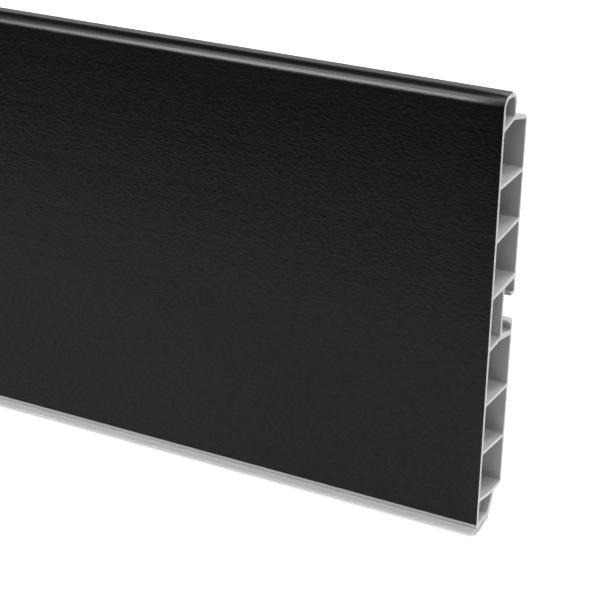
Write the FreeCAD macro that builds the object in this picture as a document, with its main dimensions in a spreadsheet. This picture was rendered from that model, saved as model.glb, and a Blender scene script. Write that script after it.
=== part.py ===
import FreeCAD, Part
import os
import re

import Sketcher

# A kitchen plinth strip, also called a kickboard: a hollow-chamber PVC extrusion that closes the gap
# between a base cabinet and the floor, cut to the length of one cabinet.
#
# Millimetres.  X runs along the strip, the film-covered front faces -Y and +Z is up.  The origin is the
# middle of the footprint, on the floor.  Every cross-section is drawn in the same upright plane, with its
# depth measured back from the front face and its height measured up from the floor.

DIMENSIONS = {
    # Overall
    "strip_length": 600,         # cut length along X
    "strip_height": 150,         # floor to the top of the film
    "strip_depth": 21,           # front face to the back of the strip
    # Walls
    "film": 0.5,                 # decor film
    "front_wall": 1.3,
    "back_wall": 1.2,
    "web": 1.1,                  # cross webs between the chambers
    "groove_web": 1.7,           # thicker stretch of a web where it closes the clip groove
    "step_wall": 1.3,
    "inner_round": 0.6,          # extrusion radius in the corners of the chambers
    "edge_round": 0.3,           # extrusion radius on small outside corners
    # Foot: the shallow chamber below the full-depth part
    "foot_height": 2.2,          # underside of the rigid PVC
    "foot_floor": 1.5,
    "heel_depth": 11.5,          # back of the foot at its underside
    "heel_round": 1.2,
    "heel_inner": 9.3,
    "shin_depth": 15.4,          # back of the foot where it meets the step
    "shin_inner": 13.2,
    "step_height": 9.6,          # underside of the full-depth part
    "step_round": 1.0,
    # Cross webs, underside heights at the front wall and at the back wall, lowest web first
    "web_one_front": 11.7,
    "web_two_front": 29.1,
    "web_two_back": 27.5,
    "web_three_front": 46.5,
    "web_three_back": 45.8,
    "web_four_front": 65.8,
    "web_four_ridge": 66.5,      # at the groove's inner wall
    "web_four_back": 64.7,
    "web_five_front": 83.8,
    "web_five_ridge": 84.0,
    "web_five_back": 84.7,
    "web_six_front": 102.6,
    "web_six_back": 104.1,
    "web_seven_front": 120.1,
    "web_seven_back": 120.6,
    "roof_front": 138.4,
    "roof_ridge": 140.3,         # under the nose's back wall
    "roof_back": 137.8,
    # Clip groove, open to the back
    "groove_wall": 1.3,
    "groove_depth": 11.6,        # the groove's inner wall
    "mouth_low": 70.4,
    "mouth_high": 79.1,
    "hook": 1.1,                 # thickness of the two inturned hooks
    "hook_depth": 17.6,          # free edge of the hooks
    "hook_round": 0.4,
    # Ledge behind the nose
    "ledge_front": 141.9,
    "ledge_back": 139.0,
    "ledge_round": 3.0,
    # Nose: the rounded bead along the top of the front
    "nose_depth": 10.9,
    "nose_wall": 1.3,
    "nose_front_round": 3.6,
    "nose_back_round": 4.0,
    "nose_inner_front_round": 2.6,
    "nose_inner_back_round": 2.4,
    # Decor film
    "film_foot": 3.7,            # lower edge of the film on the front
    # Floor seal
    "toe_reach": 2.6,            # how far the soft toe stands in front of the front face
    "toe_height": 1.4,           # underside of the toe's free edge
    "toe_edge": 0.5,             # thickness of the toe's free edge
    "toe_bend": 0.3,             # depth at which the toe leaves the floor
    "pad_depth": 4.2,            # back of the stretch that lies on the floor
    "seal_back": 8,
    "seal_heel": 10.8,
    "seal_thin": 1.0,            # thickness of the seal under the foot
    "seal_round": 1.5,
    "seal_edge_round": 0.2,
}

SHEET = "dims"
SAME = 1e-4                      # mm, when two places along the section count as one


def bound(formula):
    """Return a formula with every dimension in it pointed at the sheet."""
    return re.sub(r"[a-z_]+", lambda name: f"{SHEET}.{name.group(0)}", formula)


def make_sheet(doc):
    """Put every driving dimension in its own aliased cell."""
    sheet = doc.addObject("Spreadsheet::Sheet", SHEET)
    for row, (alias, size) in enumerate(DIMENSIONS.items(), start=1):
        cell = f"A{row}"
        sheet.set(cell, str(size))
        sheet.setAlias(cell, alias)
    doc.recompute()


def add_up(formula):
    """Return the size of a formula that only adds and subtracts dimensions."""
    size = 0.0
    for sign, name in re.findall(r"([+-]?) ?([a-z_]+)", formula):
        size += -DIMENSIONS[name] if sign == "-" else DIMENSIONS[name]
    return size


def place(corner):
    """Return a corner, a pair of formulas for depth and height, as a point on the cross-section."""
    depth, height = corner
    return FreeCAD.Vector(add_up(depth), add_up(height), 0)


def draw_outline(sketch, corners):
    """Draw a closed outline of straight edges and dimension its corners.

    An edge whose two corners share a depth is made upright, and one whose corners share a height is made
    level, so that each size is dimensioned once.
    """
    first = sketch.GeometryCount
    count = len(corners)
    points = [place(corner) for corner in corners]
    for index in range(count):
        sketch.addGeometry(Part.LineSegment(points[index], points[(index + 1) % count]))
    for index in range(count):
        before = first + (index - 1) % count
        sketch.addConstraint(Sketcher.Constraint("Coincident", before, 2, first + index, 1))
    axes = (("DistanceX", "Vertical"), ("DistanceY", "Horizontal"))
    for index, corner in enumerate(corners):
        for axis, (distance, parallel) in enumerate(axes):
            if index and corner[axis] == corners[index - 1][axis]:
                sketch.addConstraint(Sketcher.Constraint(parallel, first + index - 1))
                continue
            size = points[index][axis]
            number = sketch.addConstraint(Sketcher.Constraint(distance, -1, 1, first + index, 1, size))
            sketch.setExpression(f"Constraints[{number}]", bound(corner[axis]))


def section_sketch(body, name, outlines):
    """Draw closed outlines on the body's own cross-section plane."""
    sketch = body.newObject("Sketcher::SketchObject", name)
    plane = next(item for item in body.Origin.OriginFeatures if item.Role == "YZ_Plane")
    sketch.AttachmentSupport = [(plane, "")]
    sketch.MapMode = "FlatFace"
    for corners in outlines:
        draw_outline(sketch, corners)
    return sketch


def run_lengthwise(body, kind, name, sketch):
    """Pad or pocket a sketch over the whole length of the strip."""
    feature = body.newObject(f"PartDesign::{kind}", name)
    feature.Profile = sketch
    feature.SideType = "Symmetric"
    feature.setExpression("Length", bound("strip_length"))
    body.Document.recompute()


def round_corners(body, name, corners, radius):
    """Round the long edges that pass through the given corners of the section."""
    base = body.Tip
    points = [place(corner) for corner in corners]
    edges = []
    for number, edge in enumerate(base.Shape.Edges, start=1):
        one, other = edge.firstVertex().Point, edge.lastVertex().Point
        if abs(one.y - other.y) > SAME or abs(one.z - other.z) > SAME:
            continue
        if any(abs(one.y - point.x) < SAME and abs(one.z - point.y) < SAME for point in points):
            edges.append(f"Edge{number}")
    if len(edges) != len(corners):
        raise RuntimeError(f"{name} found {len(edges)} edges for {len(corners)} corners")
    feature = body.newObject("PartDesign::Fillet", name)
    feature.Base = (base, edges)
    feature.setExpression("Radius", bound(radius))
    body.Document.recompute()


def new_body(doc, name):
    """Start a body whose section is centred over the footprint."""
    body = doc.addObject("PartDesign::Body", name)
    body.Label = name
    body.setExpression("Placement.Base.y", bound("(toe_reach - strip_depth) / 2"))
    return body


def profile_core(doc):
    """Rigid PVC extrusion: two walls, cross webs, a clip groove, a foot and a nose."""
    body = new_body(doc, "profile_core")

    foot_front = ("film", "foot_height")
    heel = ("heel_depth", "foot_height")
    shin = ("shin_depth", "step_height")
    step_corner = ("strip_depth", "step_height")
    ledge_corner = ("strip_depth", "ledge_back")
    nose_root = ("nose_depth", "ledge_front")
    nose_back = ("nose_depth", "strip_height - film")
    nose_front = ("film", "strip_height - film")
    outside = [foot_front, heel, shin, step_corner, ledge_corner, nose_root, nose_back, nose_front]
    run_lengthwise(body, "Pad", "strip", section_sketch(body, "outside", [outside]))
    round_corners(body, "nose_front_edge", [nose_front], "nose_front_round")
    round_corners(body, "nose_back_edge", [nose_back], "nose_back_round")
    round_corners(body, "ledge_edge", [ledge_corner], "ledge_round")
    round_corners(body, "heel_edge", [heel], "heel_round")
    round_corners(body, "step_edge", [step_corner], "step_round")
    round_corners(body, "small_edges", [foot_front, shin, nose_root], "edge_round")

    chambers, nose_corners = chamber_outlines()
    run_lengthwise(body, "Pocket", "chambers", section_sketch(body, "chamber_outlines", chambers))
    round_corners(body, "nose_inner_front", nose_corners[:1], "nose_inner_front_round")
    round_corners(body, "nose_inner_back", nose_corners[1:], "nose_inner_back_round")
    plain = [corner for outline in chambers for corner in outline if corner not in nose_corners]
    round_corners(body, "chamber_corners", plain, "inner_round")

    groove, hook_corners, groove_corners = groove_outline()
    run_lengthwise(body, "Pocket", "clip_groove", section_sketch(body, "groove_outline", [groove]))
    round_corners(body, "groove_corners", groove_corners, "inner_round")
    round_corners(body, "hook_corners", hook_corners, "hook_round")
    return body


def chamber_outlines():
    """Return the nine closed chambers, lowest first, and the two corners inside the top of the nose."""
    front = "film + front_wall"
    back = "strip_depth - back_wall"
    groove_front = "groove_depth - groove_wall"
    nose_inner = "nose_depth - nose_wall"
    nose_corners = [
        (front, "strip_height - film - nose_wall"),
        (nose_inner, "strip_height - film - nose_wall"),
    ]
    foot = [
        (front, "foot_height + foot_floor"),
        ("heel_inner", "foot_height + foot_floor"),
        ("shin_inner", "step_height"),
        (front, "web_one_front"),
    ]
    over_foot = [
        (front, "web_one_front + web"),
        ("shin_inner", "step_height + step_wall"),
        (back, "step_height + step_wall"),
        (back, "web_two_back"),
        (front, "web_two_front"),
    ]
    under_groove = [
        (front, "web_three_front + web"),
        (back, "web_three_back + web"),
        (back, "web_four_back"),
        (groove_front, "web_four_ridge"),
        (front, "web_four_front"),
    ]
    beside_groove = [
        (front, "web_four_front + web"),
        (groove_front, "web_four_ridge + web"),
        (groove_front, "web_five_ridge"),
        (front, "web_five_front"),
    ]
    over_groove = [
        (front, "web_five_front + web"),
        (back, "web_five_back + groove_web"),
        (back, "web_six_back"),
        (front, "web_six_front"),
    ]
    under_roof = [
        (front, "web_seven_front + web"),
        (back, "web_seven_back + web"),
        (back, "roof_back"),
        (nose_inner, "roof_ridge"),
        (front, "roof_front"),
    ]
    nose = [
        (front, "roof_front + web"),
        (nose_inner, "roof_ridge + web"),
        nose_corners[1],
        nose_corners[0],
    ]
    plain = [between_webs(front, back, *pair) for pair in (("two", "three"), ("six", "seven"))]
    outlines = [foot, over_foot, plain[0], under_groove, beside_groove, over_groove, plain[1], under_roof, nose]
    return outlines, nose_corners


def between_webs(front, back, lower, upper):
    """Return the chamber between two plain cross webs, named by their place in the stack."""
    return [
        (front, f"web_{lower}_front + web"),
        (back, f"web_{lower}_back + web"),
        (back, f"web_{upper}_back"),
        (front, f"web_{upper}_front"),
    ]


def groove_outline():
    """Return the clip groove's outline, the corners of its hooks and the corners inside it."""
    inside_back = "strip_depth - back_wall"
    outside_back = "strip_depth + back_wall"
    low_corners = [
        ("groove_depth", "web_four_ridge + groove_web"),
        (inside_back, "web_four_back + groove_web"),
    ]
    low_hook = [("hook_depth", "mouth_low - hook"), ("hook_depth", "mouth_low")]
    high_hook = [("hook_depth", "mouth_high"), ("hook_depth", "mouth_high + hook")]
    high_corners = [(inside_back, "web_five_back"), ("groove_depth", "web_five_ridge")]
    mouth = [(outside_back, "mouth_low"), (outside_back, "mouth_high")]
    under_low_hook = (inside_back, "mouth_low - hook")
    over_high_hook = (inside_back, "mouth_high + hook")
    outline = [*low_corners, under_low_hook, *low_hook, *mouth, *high_hook, over_high_hook, *high_corners]
    lips = [("strip_depth", "mouth_low"), ("strip_depth", "mouth_high")]
    return outline, low_hook + high_hook + lips, low_corners + high_corners


def decor_film(doc):
    """Thin film glued to the front and wrapped over the nose, up to where the nose's rear curve starts."""
    body = new_body(doc, "decor_film")
    top = "strip_height - film"
    reach = "nose_depth - nose_back_round"
    outer_corner = ("0", "strip_height")
    inner_corner = ("film", top)
    outline = [
        ("0", "film_foot"),
        ("film", "film_foot"),
        inner_corner,
        (reach, top),
        (reach, "strip_height"),
        outer_corner,
    ]
    run_lengthwise(body, "Pad", "sheet", section_sketch(body, "film_outline", [outline]))
    round_corners(body, "film_outer_bend", [outer_corner], "nose_front_round + film")
    round_corners(body, "film_inner_bend", [inner_corner], "nose_front_round")
    return body


def floor_seal(doc):
    """Soft lip along the underside, with a toe that reaches forward and lies on the floor."""
    body = new_body(doc, "floor_seal")
    toe_tip = ("-toe_reach", "toe_height")
    toe_top = ("-toe_reach", "toe_height + toe_edge")
    ground_front = ("toe_bend", "0")
    ground_back = ("pad_depth", "0")
    heel_low = ("seal_heel", "foot_height - seal_thin")
    outline = [
        ("film", "foot_height"),
        toe_top,
        toe_tip,
        ground_front,
        ground_back,
        ("seal_back", "foot_height - seal_thin"),
        heel_low,
        ("seal_heel", "foot_height"),
    ]
    run_lengthwise(body, "Pad", "lip", section_sketch(body, "seal_outline", [outline]))
    round_corners(body, "seal_bends", [ground_front, ground_back], "seal_round")
    round_corners(body, "seal_edges", [toe_tip, toe_top, heel_low], "seal_edge_round")
    return body


def check_document(doc):
    """Stop if the document holds a failed object."""
    for item in doc.Objects:
        if {"Invalid", "Error"} & set(item.State):
            raise RuntimeError(f"{item.Label} failed: {item.State}")


def export_piece(body):
    """Check a sub-part's solid and write it to its own file."""
    shape = body.Shape
    if shape.isNull() or not shape.isValid() or len(shape.Solids) != 1:
        raise RuntimeError(f"{body.Label} isn't one valid solid")
    box = shape.BoundBox
    print(f"{body.Label}: {shape.Volume / 1000:.1f} cm3, X {box.XMin:.2f} {box.XMax:.2f}, "
          f"Y {box.YMin:.2f} {box.YMax:.2f}, Z {box.ZMin:.2f} {box.ZMax:.2f}")
    shape.exportStep(f"parts/{body.Label}.step")


def main():
    doc = FreeCAD.newDocument("plinth_strip")
    make_sheet(doc)
    pieces = [profile_core(doc), decor_film(doc), floor_seal(doc)]
    doc.recompute()
    check_document(doc)
    os.makedirs("parts", exist_ok=True)
    for body in pieces:
        export_piece(body)


main()
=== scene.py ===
import math

import bpy
from mathutils import Matrix, Vector, geometry, kdtree, noise


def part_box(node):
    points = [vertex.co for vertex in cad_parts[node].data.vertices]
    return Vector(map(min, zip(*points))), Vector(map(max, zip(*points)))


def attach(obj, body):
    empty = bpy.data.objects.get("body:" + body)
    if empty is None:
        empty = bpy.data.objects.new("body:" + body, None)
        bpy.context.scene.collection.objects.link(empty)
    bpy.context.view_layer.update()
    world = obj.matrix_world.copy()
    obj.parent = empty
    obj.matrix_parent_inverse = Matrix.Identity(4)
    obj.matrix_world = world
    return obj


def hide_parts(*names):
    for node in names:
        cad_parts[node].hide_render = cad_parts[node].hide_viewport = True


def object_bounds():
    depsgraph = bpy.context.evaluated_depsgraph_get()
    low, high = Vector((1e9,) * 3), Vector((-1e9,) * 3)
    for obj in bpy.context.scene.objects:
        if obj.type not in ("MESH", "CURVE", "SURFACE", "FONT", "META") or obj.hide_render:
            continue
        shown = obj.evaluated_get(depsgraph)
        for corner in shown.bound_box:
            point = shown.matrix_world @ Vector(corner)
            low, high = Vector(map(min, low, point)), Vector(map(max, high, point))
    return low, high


# A kitchen plinth strip: a hollow PVC profile, the decor film on its front and nose, and its soft seal.
# Metres, in the CAD model's frame: X runs along the strip, the film faces -Y and +Z is up.  The three pieces
# take their cross-sections from the end faces of the CAD nodes and are rebuilt along the strip with finer
# arcs, broken end edges, the sink lines over the webs and a toe edge that wanders a little.

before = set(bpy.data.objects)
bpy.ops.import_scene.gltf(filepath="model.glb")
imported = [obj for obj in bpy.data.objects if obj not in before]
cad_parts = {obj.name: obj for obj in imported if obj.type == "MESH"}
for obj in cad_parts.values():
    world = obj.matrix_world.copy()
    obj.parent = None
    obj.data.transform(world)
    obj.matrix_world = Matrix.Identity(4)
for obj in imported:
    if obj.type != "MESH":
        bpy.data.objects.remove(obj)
cad_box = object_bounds()

MM = 0.001
WHITE = (1.0, 1.0, 1.0, 1.0)

# outlines
WELD = 1e-7                      # two CAD vertices closer than this are one
SHARP_TURN = math.radians(20)    # an outline turns by more than this only at a true corner
CURVED_TURN = math.radians(0.5)  # a side whose direction turns by more than this is part of an arc
RULING_SIDE = 3                  # a side this many times longer than its neighbour sets the direction there
ARC_STEP = 0.25 * MM             # longest side on a round stretch
FLAT_STEP = 1.0 * MM             # longest side on a flat stretch
CORNER_ROUND = 0.16 * MM         # radius on the corners that the CAD model leaves sharp
CORNER_STEPS = 4                 # sides in such a corner
CORNER_SHARE = 0.4               # it takes at most this share of the sides that meet there

# sawn ends and cross-sections along the strip
RING_STEP = 12.0 * MM            # distance between cross-sections
CUT_ROUND = 0.08 * MM            # how far the sawn edges are broken
CUT_RINGS = 3                    # cross-sections in a broken edge
CUT_GRID = 0.55 * MM             # spacing of the points spread over a sawn end
CUT_NEAREST = 0.6 * CUT_GRID     # they keep this far from the outlines
CUT_FARTHEST = 3 * CUT_GRID      # and are needed no farther in than this
CUT_SHIFTS = (0.75, 0.25)        # even and odd rows of the grid are shifted against each other
CUT_MERGE = 1e-5                 # mm; points closer than this merge in the triangulation
SHARP_EDGE = math.radians(35)    # faces that meet at a larger angle show an edge

# unevenness
SINK_DEPTH = 0.030 * MM          # how far a wall is drawn in where a web meets it
SINK_WIDTH = 1.3 * MM
SKIN = 0.9 * MM                  # a sink line reaches this far below the surface
ON_WALL = 0.05 * MM              # a point of a chamber this near to a wall lies on it
TOE_WAVE = 0.16 * MM             # how far the toe's free edge wanders
TOE_PITCH = 0.045                # over what length along the strip
TOE_SEED = 4.0

# materials: the darker and the lighter colour of each surface's clouds
FILM_DARK = (0.0016, 0.0017, 0.0020, 1)
FILM_LIGHT = (0.0027, 0.0028, 0.0032, 1)
PVC_DARK = (0.43, 0.43, 0.435, 1)
PVC_LIGHT = (0.48, 0.48, 0.485, 1)
PVC_SAWN = (0.66, 0.66, 0.655, 1)
SEAL_DARK = (0.44, 0.44, 0.425, 1)
SEAL_LIGHT = (0.50, 0.50, 0.485, 1)
SAWN_FROM = 0.6                  # a face of the PVC is sawn if its normal lies this much along the strip
FILM_FLAT_TO = 0.05              # the film looks flat up to this upward share of its normal
FILM_BENT_FROM = 0.35            # and fully bent from this one
GRAIN_DEPTH = 0.072 * MM
LINE_DEPTH = 0.02 * MM           # of the die lines
SCORE_DEPTH = 0.03 * MM          # of the saw marks
BUMP_SHARE = 0.6                 # strength of the bumps on both plastics

# studio walls: how bright they are for the strip, and what share of it is left at the ceiling and in front
WORLD_LEVEL = 0.15
WORLD_CEILING = 0.12
WORLD_FRONT = 0.15
WORLD_BRIGHT_TO = math.radians(20)   # elevation where the walls start to get darker
WORLD_DARK_FROM = math.radians(50)   # and where they stop
WORLD_FRONT_TO = -0.8                # the same from front to back, as the direction's share of +Y
WORLD_BACK_FROM = 0.4
WORLD_SEEN = 0.85                    # how bright the studio behind everything looks

# floor
FLOOR_RADIUS = 9.0
FLOOR_SIDES = 96
FLOOR_NEAR = 0.9                 # how pale the floor is under the strip and behind it
FLOOR_FAR = 0.06                 # and in front of it
FADE_NEAR = -0.12                # where the floor starts to get darker to the front
FADE_FAR = -0.42                 # and where it stops
FLOOR_SEEN = 1.25                # brightness that the camera sees near the strip, before the lamps' own
FLOOR_SEEN_FAR = 1.75            # and far from it, where the lamps don't reach
POOL_EDGE = 0.6                  # how far from the strip the lamps' pool starts to fade
POOL_END = 3 * POOL_EDGE         # and where it ends

# camera: the direction it stands in from the film's face at the right-hand end, and how far it stands
# to the left of that place, above it and back from it, along its own axes
CAMERA_AZIMUTH = math.radians(26.97)
CAMERA_ELEVATION = math.radians(23.95)
CAMERA_ROLL = math.radians(1.14)
CAMERA_LENS = 107.9              # mm
CAMERA_SENSOR = 36.0             # mm
CAMERA_LEFT = 0.0590
CAMERA_UP = 0.0088
CAMERA_BACK = 0.5604

# softboxes: name, azimuth and elevation in degrees, distance from the aim, width, height,
# radiance, fan in degrees, tint, aim
COOL = (0.93, 0.96, 1.0)
NEUTRAL = (1.0, 1.0, 1.0)
WARM = (1.0, 0.98, 0.93)
AT_STRIP = (0.15, 0.0, 0.08)
AT_FLOOR_LEFT = (-0.35, -0.05, 0.0)
AT_FLOOR_BEHIND = (0.1, 0.6, 0.0)
SOFTBOXES = (
    ("key", -27, 27, 1.4, 0.64, 0.6, 1.04, 50, COOL, AT_STRIP),
    ("key_upper", -26, 54, 1.4, 0.7, 0.65, 0.58, 60, COOL, AT_STRIP),
    ("pool_right", 60, 68, 0.65, 0.3, 0.3, 1.15, 80, NEUTRAL, AT_STRIP),
    ("back_left", 207, 24, 2.0, 1.2, 0.9, 0.33, 120, WARM, AT_STRIP),
    ("pool_left", -75, 62, 0.9, 0.35, 0.35, 1.0, 80, COOL, AT_FLOOR_LEFT),
    ("right", 90, 35, 1.0, 0.6, 0.6, 0.95, 100, COOL, AT_STRIP),
    ("back_fill", 150, 60, 1.4, 1.0, 1.0, 3.6, 120, NEUTRAL, AT_FLOOR_BEHIND))


# ---------------------------------------------------------------- cross-sections

def end_outlines(node):
    """Return the closed outlines of a CAD node's right-hand end, the outer one first.

    Each is a list of (depth, height) vectors that keeps the solid on its left.
    """
    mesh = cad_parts[node].data
    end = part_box(node)[1].x
    at_end = {}
    for vertex in mesh.vertices:
        if abs(vertex.co.x - end) < WELD * 10:
            at_end[vertex.index] = (round(vertex.co.y / WELD), round(vertex.co.z / WELD))
    sides = set()
    for face in mesh.polygons:
        corners = [at_end.get(index) for index in face.vertices]
        if None not in corners:
            sides.update(zip(corners, corners[1:] + corners[:1]))
    follows = {one: other for one, other in sorted(sides) if (other, one) not in sides}
    outlines = []
    while follows:
        point = next(iter(follows))
        outline = []
        while point in follows:
            outline.append(Vector(point) * WELD)
            point = follows.pop(point)
        outlines.append(outline)
    return sorted(outlines, key=enclosed, reverse=True)


def enclosed(outline):
    """Return the signed area inside an outline."""
    pairs = zip(outline, outline[1:] + outline[:1])
    return sum(one.x * other.y - one.y * other.x for one, other in pairs) / 2


def turn_at(outline, index):
    """Return the angle that an outline turns by at one of its points."""
    here = outline[index]
    before = here - outline[index - 1]
    after = outline[(index + 1) % len(outline)] - here
    return abs(before.angle_signed(after))


def break_corners(outline, radius):
    """Round every true corner of an outline a little, as a cut or moulded edge is."""
    softened = []
    for index, here in enumerate(outline):
        before = outline[index - 1] - here
        after = outline[(index + 1) % len(outline)] - here
        turn = turn_at(outline, index)
        if turn < SHARP_TURN:
            softened.append(here)
            continue
        reach = min(radius * math.tan(turn / 2), before.length * CORNER_SHARE, after.length * CORNER_SHARE)
        start = here + before.normalized() * reach
        end = here + after.normalized() * reach
        for step in range(CORNER_STEPS + 1):
            share = step / CORNER_STEPS
            softened.append(start.lerp(here, share).lerp(here.lerp(end, share), share))
    return softened


def direction_at(outline, index, leaving):
    """Return the outline's direction at a point, just after it if leaving and just before it if not."""
    here = outline[index]
    before = here - outline[index - 1]
    after = outline[(index + 1) % len(outline)] - here
    if turn_at(outline, index) > SHARP_TURN:
        return (after if leaving else before).normalized()
    if before.length > RULING_SIDE * after.length:
        return before.normalized()
    if after.length > RULING_SIDE * before.length:
        return after.normalized()
    return (before.normalized() + after.normalized()).normalized()


def refine(outline):
    """Divide an outline's sides, so that arcs are truly round and flats can carry fine detail."""
    refined = []
    for index, start in enumerate(outline):
        following = (index + 1) % len(outline)
        end = outline[following]
        length = (end - start).length
        leaving = direction_at(outline, index, True) * length
        arriving = direction_at(outline, following, False) * length
        curved = abs(leaving.angle_signed(arriving)) > CURVED_TURN
        steps = max(1, math.ceil(length / (ARC_STEP if curved else FLAT_STEP)))
        for step in range(steps):
            t = step / steps
            refined.append(
                start * (2 * t**3 - 3 * t**2 + 1) + leaving * (t**3 - 2 * t**2 + t)
                + end * (3 * t**2 - 2 * t**3) + arriving * (t**3 - t**2))
    return refined


def fine_outlines(node):
    """Return the end outlines of a CAD node, with broken corners and fine sides."""
    return [refine(break_corners(outline, CORNER_ROUND)) for outline in end_outlines(node)]


def inward(outline):
    """Return the unit vectors that point from an outline's points into the solid."""
    normals = []
    for index, here in enumerate(outline):
        along = (outline[(index + 1) % len(outline)] - outline[index - 1]).normalized()
        normals.append(Vector((-along.y, along.x)))
    return normals


def inside(point, outlines):
    """Tell whether a point lies in the solid part of a cross-section."""
    crossings = 0
    for outline in outlines:
        for one, other in zip(outline, outline[1:] + outline[:1]):
            if (one.y > point.y) != (other.y > point.y):
                crossings += point.x < one.x + (point.y - one.y) / (other.y - one.y) * (other.x - one.x)
    return crossings % 2 == 1


def finder(outlines):
    """Return a search tree of the outlines' points."""
    corners = [point for outline in outlines for point in outline]
    tree = kdtree.KDTree(len(corners))
    for index, corner in enumerate(corners):
        tree.insert(corner.to_3d(), index)
    tree.balance()
    return tree


def cover(outlines):
    """Triangulate a cross-section: return its points, the outlines' own first, and its triangles."""
    points = [point / MM for outline in outlines for point in outline]
    own = len(points)
    edges = []
    first = 0
    for outline in outlines:
        count = len(outline)
        edges += [(first + index, first + (index + 1) % count) for index in range(count)]
        first += count
    outer = outlines[0]
    low = Vector((min(point.x for point in outer), min(point.y for point in outer)))
    high = Vector((max(point.x for point in outer), max(point.y for point in outer)))
    tree = finder(outlines)
    for row in range(math.ceil((high.y - low.y) / CUT_GRID)):
        for column in range(math.ceil((high.x - low.x) / CUT_GRID)):
            spot = low + Vector((column + CUT_SHIFTS[row % 2], row + 0.5)) * CUT_GRID
            gap = tree.find(spot.to_3d())[2]
            if CUT_NEAREST < gap < CUT_FARTHEST and inside(spot, outlines):
                points.append(spot / MM)
    laid = geometry.delaunay_2d_cdt(points, edges, [], 0, CUT_MERGE)
    places, faces, origins = laid[0], laid[2], laid[3]
    triangles = []
    for face in faces:
        triangle = [origins[index][0] for index in face]
        middle = sum((places[index] for index in face), Vector((0, 0))) / 3 * MM
        if max(triangle) >= own or inside(middle, outlines):
            triangles.append(triangle)
    return [point * MM for point in points], triangles


# ---------------------------------------------------------------- unevenness of extruded plastic

def ripple(x, seed, pitch):
    """Return a smooth value from about -1 to 1 that wanders along the strip."""
    return 2 * noise.noise(Vector((x / pitch, seed, 0.5)))


def web_heights(outlines, on_front):
    """Return the heights at which webs meet the front or the back wall, from the chambers' outlines."""
    sides = [point.x for outline in outlines[1:] for point in outline]
    wall = min(sides) if on_front else max(sides)
    spans = []
    for outline in outlines[1:]:
        heights = [point.y for point in outline if abs(point.x - wall) < ON_WALL]
        if heights:
            spans.append((min(heights), max(heights)))
    spans.sort()
    return [(low[1] + high[0]) / 2 for low, high in zip(spans, spans[1:])]


def sink(height, webs):
    """Return how far a wall is drawn in at a height."""
    return SINK_DEPTH * max(math.exp(-(((height - web) / SINK_WIDTH) ** 2)) for web in webs)


# ---------------------------------------------------------------- pieces

def lengthwise_stations(low, high):
    """Return the cross-sections' places along the strip, each with how far its outline is drawn in."""
    stations = []
    for ring in range(CUT_RINGS + 1):
        angle = math.pi / 2 * ring / CUT_RINGS
        stations.append((high - CUT_ROUND * (1 - math.sin(angle)), CUT_ROUND * (1 - math.cos(angle))))
    mirrored = [(low + high - x, inset) for x, inset in reversed(stations)]
    start = low + CUT_ROUND
    run = high - low - 2 * CUT_ROUND
    steps = round(run / RING_STEP)
    between = [(start + run * step / steps, 0.0) for step in range(1, steps)]
    return mirrored + between + stations


def loft(name, node, outlines, shape):
    """Build a closed mesh that runs cross-section outlines along the strip; shape bends its points."""
    low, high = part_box(node)
    stations = lengthwise_stations(low.x, high.x)
    normals = [inward(outline) for outline in outlines]

    def put(x, point):
        bent = shape(Vector((x, point.x, point.y)))
        return [min(max(value, limits[0]), limits[1]) for value, limits in zip(bent, zip(low, high))]

    vertices, faces = [], []
    for x, inset in stations:
        for outline, drawn in zip(outlines, normals):
            for point, normal in zip(outline, drawn):
                vertices.append(put(x, point + normal * inset))
    ring = sum(len(outline) for outline in outlines)
    for station in range(len(stations) - 1):
        first = station * ring
        for outline in outlines:
            count = len(outline)
            for index in range(count):
                one, other = first + index, first + (index + 1) % count
                faces.append((one, other, other + ring, one + ring))
            first += count
    cut = [[point + normal * CUT_ROUND for point, normal in zip(*pair)] for pair in zip(outlines, normals)]
    points, triangles = cover(cut)
    flat_from = len(faces)
    for x, first, outwards in ((high.x, (len(stations) - 1) * ring, True), (low.x, 0, False)):
        added = len(vertices)
        vertices += [put(x, point) for point in points[ring:]]
        for triangle in triangles:
            corners = [first + index if index < ring else added + index - ring for index in triangle]
            faces.append(corners if outwards else corners[::-1])
    mesh = bpy.data.meshes.new(name)
    mesh.from_pydata(vertices, [], faces)
    mesh.validate()
    for face in mesh.polygons:
        face.use_smooth = face.index < flat_from
    mesh.set_sharp_from_angle(angle=SHARP_EDGE)
    piece = bpy.data.objects.new(name, mesh)
    bpy.context.scene.collection.objects.link(piece)
    return piece


def make_core():
    """Hollow rigid PVC profile with its chambers, clip groove, foot and nose."""
    node = "profile_core"
    outlines = fine_outlines(node)
    low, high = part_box(node)
    front_webs = web_heights(outlines, True)
    back_webs = web_heights(outlines, False)

    def shape(point):
        bent = point.copy()
        if point.y < low.y + SKIN:
            bent.y += sink(point.z, front_webs)
        elif point.y > high.y - SKIN:
            bent.y -= sink(point.z, back_webs)
        return bent

    return loft("plinth_core", node, outlines, shape)


def make_film():
    """Decor film on the front, wrapped over the nose."""
    node = "decor_film"
    outlines = fine_outlines(node)
    webs = web_heights(end_outlines("profile_core"), True)

    def shape(point):
        bent = point.copy()
        bent.y += sink(point.z, webs)
        return bent

    return loft("plinth_film", node, outlines, shape)


def make_seal():
    """Soft lip under the foot, whose toe wanders a little."""
    node = "floor_seal"
    outlines = fine_outlines(node)
    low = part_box(node)[0]
    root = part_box("profile_core")[0].y

    def shape(point):
        bent = point.copy()
        reach = max(0.0, (root - point.y) / (root - low.y))
        bent.y += TOE_WAVE * reach**2 * (0.5 + 0.5 * ripple(point.x, TOE_SEED, TOE_PITCH))
        return bent

    return loft("plinth_seal", node, outlines, shape)


# ---------------------------------------------------------------- materials

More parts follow.
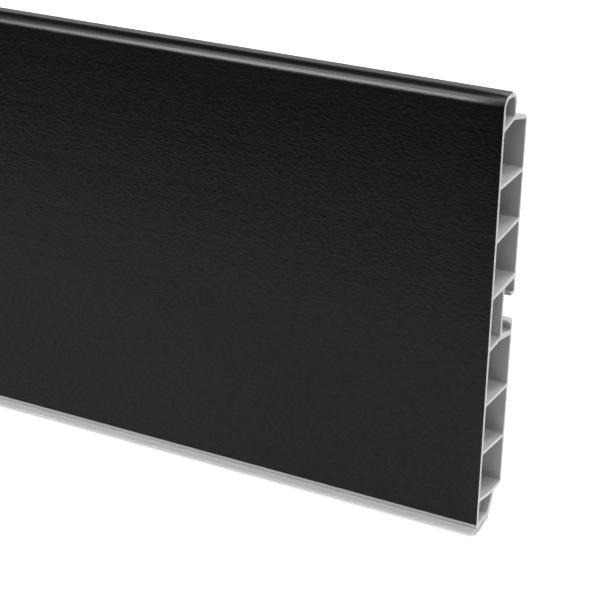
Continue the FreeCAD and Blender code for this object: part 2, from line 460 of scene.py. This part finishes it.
def add_node(tree, kind, inputs=(), **settings):
    """Add a shader node; inputs pairs its sockets with a value or with another node's output."""
    made = tree.nodes.new(kind)
    for name, value in settings.items():
        setattr(made, name, value)
    for name, value in dict(inputs).items():
        if isinstance(value, bpy.types.NodeSocket):
            tree.links.new(value, made.inputs[name])
        else:
            made.inputs[name].default_value = value
    return made


def new_material(name):
    """Return a material, its node tree and its shader."""
    material = bpy.data.materials.new(name)
    material.use_nodes = True
    tree = material.node_tree
    return material, tree, tree.nodes["Principled BSDF"]


def stretched(tree, scale):
    """Return the place on the object with each axis scaled, which stretches the textures read at it."""
    place = add_node(tree, "ShaderNodeTexCoord")
    mapped = add_node(tree, "ShaderNodeMapping", {"Vector": place.outputs["Object"], "Scale": scale})
    return mapped.outputs["Vector"]


def speckle(tree, scale, detail, rough=0.5):
    """Return noise read at a stretched place."""
    made = add_node(tree, "ShaderNodeTexNoise", {
        "Vector": stretched(tree, scale), "Scale": 1.0, "Detail": detail, "Roughness": rough})
    return made.outputs["Fac"]


def spread(tree, value, low, high, start=0.3, end=0.7):
    """Map a value from start..end to low..high and clamp it; most of a noise lies from 0.3 to 0.7."""
    made = add_node(tree, "ShaderNodeMapRange", {
        "Value": value, "From Min": start, "From Max": end, "To Min": low, "To Max": high})
    return made.outputs["Result"]


def blend_colors(tree, factor, one, other):
    """Return a colour between two."""
    made = add_node(tree, "ShaderNodeMix", {"Factor": factor}, data_type="RGBA")
    for socket, value in (("A_Color", one), ("B_Color", other)):
        target = next(item for item in made.inputs if item.identifier == socket)
        if isinstance(value, bpy.types.NodeSocket):
            tree.links.new(value, target)
        else:
            target.default_value = value
    return next(item for item in made.outputs if item.identifier == "Result_Color")


def combine(tree, operation, one, other):
    """Return two values combined."""
    made = add_node(tree, "ShaderNodeMath", operation=operation)
    for socket, value in zip(made.inputs, (one, other)):
        if isinstance(value, bpy.types.NodeSocket):
            tree.links.new(value, socket)
        else:
            socket.default_value = value
    return made.outputs["Value"]


def bump(tree, height, distance, strength, under=None):
    """Return a normal roughened by a height, over another one if given."""
    inputs = {"Height": height, "Distance": distance, "Strength": strength}
    if under is not None:
        inputs["Normal"] = under
    return add_node(tree, "ShaderNodeBump", inputs).outputs["Normal"]


def film_material():
    """Black film with a fine leather grain, drawn smoother and shinier where it bends over the nose."""
    material, tree, shader = new_material("black_grained_film")
    pebbles = add_node(tree, "ShaderNodeTexVoronoi", {
        "Vector": stretched(tree, (700, 1000, 1150)), "Scale": 1.0, "Smoothness": 0.35},
        feature="SMOOTH_F1")
    fine = speckle(tree, (1800, 2600, 2600), 3.0)
    grain = combine(tree, "ADD", pebbles.outputs["Distance"], combine(tree, "MULTIPLY", fine, 0.5))
    smudges = speckle(tree, (9, 25, 25), 2.0)
    tree.links.new(blend_colors(tree, smudges, FILM_DARK, FILM_LIGHT), shader.inputs["Base Color"])
    tree.links.new(spread(tree, smudges, 0.26, 0.31), shader.inputs["Roughness"])
    surface = add_node(tree, "ShaderNodeNewGeometry")
    upward = add_node(tree, "ShaderNodeSeparateXYZ", {"Vector": surface.outputs["Normal"]}).outputs["Z"]
    flat_shine = spread(tree, grain, 0.288, 0.224, 0.3, 0.9)
    shine = spread(tree, upward, flat_shine, 0.5, FILM_FLAT_TO, FILM_BENT_FROM)
    tree.links.new(shine, shader.inputs["Specular IOR Level"])
    relief = spread(tree, upward, 0.75, 0.1, FILM_FLAT_TO, FILM_BENT_FROM)
    tree.links.new(bump(tree, grain, GRAIN_DEPTH, relief), shader.inputs["Normal"])
    return material


def pvc_material():
    """Light grey rigid PVC: satin with die lines along the strip, matt and scored where it was sawn."""
    material, tree, shader = new_material("light_grey_pvc")
    surface = add_node(tree, "ShaderNodeNewGeometry")
    facing = add_node(tree, "ShaderNodeSeparateXYZ", {"Vector": surface.outputs["Normal"]})
    sawn = combine(tree, "GREATER_THAN", combine(tree, "ABSOLUTE", facing.outputs["X"], 0.0), SAWN_FROM)
    clouds = speckle(tree, (14, 60, 60), 3.0)
    plain = blend_colors(tree, clouds, PVC_DARK, PVC_LIGHT)
    tree.links.new(blend_colors(tree, sawn, plain, PVC_SAWN), shader.inputs["Base Color"])
    die_lines = speckle(tree, (2.5, 1900, 1900), 2.0)
    tree.links.new(combine(tree, "ADD", spread(tree, die_lines, 0.34, 0.44),
                           combine(tree, "MULTIPLY", sawn, 0.22)), shader.inputs["Roughness"])
    teeth = add_node(tree, "ShaderNodeTexWave", {
        "Vector": stretched(tree, (1, 1, 1)), "Scale": 480.0, "Distortion": 1.5, "Detail": 2.0},
        wave_type="RINGS", rings_direction="X")
    scored = combine(tree, "MULTIPLY", teeth.outputs["Fac"], sawn)
    lined = bump(tree, die_lines, LINE_DEPTH, BUMP_SHARE)
    tree.links.new(bump(tree, scored, SCORE_DEPTH, BUMP_SHARE, lined), shader.inputs["Normal"])
    return material


def seal_material():
    """Milky soft PVC that lets a little light through."""
    material, tree, shader = new_material("milky_soft_pvc")
    clouds = speckle(tree, (20, 200, 200), 3.0)
    tree.links.new(blend_colors(tree, clouds, SEAL_DARK, SEAL_LIGHT), shader.inputs["Base Color"])
    lines = speckle(tree, (4, 2200, 2200), 2.0)
    tree.links.new(spread(tree, lines, 0.36, 0.5), shader.inputs["Roughness"])
    tree.links.new(bump(tree, lines, LINE_DEPTH, BUMP_SHARE), shader.inputs["Normal"])
    shader.inputs["Subsurface Weight"].default_value = 0.35
    shader.inputs["Subsurface Radius"].default_value = (1.0, 0.95, 0.85)
    shader.inputs["Subsurface Scale"].default_value = 1.2 * MM
    return material


def finish_piece(piece, node, material):
    """Paint a piece and let it stand for its CAD node."""
    piece.data.materials.append(material)
    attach(piece, "root")
    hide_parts(node)


# ---------------------------------------------------------------- studio

def make_floor():
    """Plain pale floor: it looks the same everywhere, but its front part throws less light on the strip."""
    material, tree, shader = new_material("pale_floor")
    place = add_node(tree, "ShaderNodeTexCoord")
    depth = add_node(tree, "ShaderNodeSeparateXYZ", {"Vector": place.outputs["Object"]}).outputs["Y"]
    paleness = spread(tree, depth, FLOOR_FAR, FLOOR_NEAR, FADE_FAR, FADE_NEAR)
    seen = add_node(tree, "ShaderNodeLightPath").outputs["Is Camera Ray"]
    away = add_node(tree, "ShaderNodeVectorMath", {"Vector": place.outputs["Object"]}, operation="LENGTH")
    beyond = spread(tree, away.outputs["Value"], FLOOR_SEEN, FLOOR_SEEN_FAR, POOL_EDGE, POOL_END)
    lift = combine(tree, "SUBTRACT", beyond, paleness)
    tree.links.new(paleness, shader.inputs["Base Color"])
    tree.links.new(combine(tree, "MULTIPLY", seen, lift), shader.inputs["Emission Strength"])
    shader.inputs["Emission Color"].default_value = WHITE
    shader.inputs["Roughness"].default_value = 0.9
    shader.inputs["Specular IOR Level"].default_value = 0.1
    bpy.ops.mesh.primitive_circle_add(vertices=FLOOR_SIDES, radius=FLOOR_RADIUS, fill_type="NGON")
    floor = bpy.context.object
    floor.name = "floor"
    floor.data.materials.append(material)


def make_world():
    """Studio walls, pale near the floor and brighter behind the strip, under a dark ceiling."""
    world = bpy.data.worlds.new("studio")
    bpy.context.scene.world = world
    world.use_nodes = True
    tree = world.node_tree
    place = add_node(tree, "ShaderNodeTexCoord")
    way = add_node(tree, "ShaderNodeSeparateXYZ", {"Vector": place.outputs["Generated"]})
    bright_to, dark_from = math.sin(WORLD_BRIGHT_TO), math.sin(WORLD_DARK_FROM)
    walls = spread(tree, way.outputs["Z"], 1.0, WORLD_CEILING, bright_to, dark_from)
    front = spread(tree, way.outputs["Y"], WORLD_FRONT, 1.0, WORLD_FRONT_TO, WORLD_BACK_FROM)
    level = combine(tree, "MULTIPLY", combine(tree, "MULTIPLY", walls, front), WORLD_LEVEL)
    seen = add_node(tree, "ShaderNodeLightPath").outputs["Is Camera Ray"]
    level = combine(tree, "MAXIMUM", level, combine(tree, "MULTIPLY", seen, WORLD_SEEN))
    tree.links.new(level, tree.nodes["Background"].inputs["Strength"])
    tree.nodes["Background"].inputs["Color"].default_value = WHITE


def direction_to(azimuth, elevation):
    """Return the unit vector to an azimuth, counted from the front towards the right, and elevation."""
    level = math.cos(elevation)
    return Vector((math.sin(azimuth) * level, -math.cos(azimuth) * level, math.sin(elevation)))


def add_softbox(name, azimuth, elevation, distance, width, height, radiance, fan, tint, aim):
    """Hang a gridded softbox round the strip, facing a place on it or near it."""
    towards = direction_to(math.radians(azimuth), math.radians(elevation))
    light = bpy.data.lights.new(name, "AREA")
    light.shape = "RECTANGLE"
    light.size = width
    light.size_y = height
    light.energy = radiance * width * height * math.pi
    light.spread = math.radians(fan)
    light.color = tint
    lamp = bpy.data.objects.new(name, light)
    lamp.location = Vector(aim) + towards * distance
    lamp.rotation_mode = "QUATERNION"
    lamp.rotation_quaternion = towards.to_track_quat("Z", "Y")
    lamp.visible_camera = False
    bpy.context.scene.collection.objects.link(lamp)


def make_camera():
    """Camera at the right of the front, looking down on the right-hand end."""
    low, high = cad_box
    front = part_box("decor_film")[0].y
    target = Vector((high.x, front, (low.z + high.z) / 2))
    back = direction_to(CAMERA_AZIMUTH, CAMERA_ELEVATION)
    level = Vector((math.cos(CAMERA_AZIMUTH), math.sin(CAMERA_AZIMUTH), 0))
    above = back.cross(level)
    right = level * math.cos(CAMERA_ROLL) + above * math.sin(CAMERA_ROLL)
    up = above * math.cos(CAMERA_ROLL) - level * math.sin(CAMERA_ROLL)
    data = bpy.data.cameras.new("camera")
    data.lens = CAMERA_LENS
    data.sensor_width = CAMERA_SENSOR
    camera = bpy.data.objects.new("camera", data)
    location = target - right * CAMERA_LEFT + up * CAMERA_UP + back * CAMERA_BACK
    rotation = Matrix((right, up, back)).transposed().to_4x4()
    camera.matrix_world = Matrix.Translation(location) @ rotation
    bpy.context.scene.collection.objects.link(camera)
    bpy.context.scene.camera = camera


finish_piece(make_core(), "profile_core", pvc_material())
finish_piece(make_film(), "decor_film", film_material())
finish_piece(make_seal(), "floor_seal", seal_material())
make_floor()
make_world()
for softbox in SOFTBOXES:
    add_softbox(*softbox)
make_camera()
bpy.context.scene.view_settings.view_transform = "Standard"
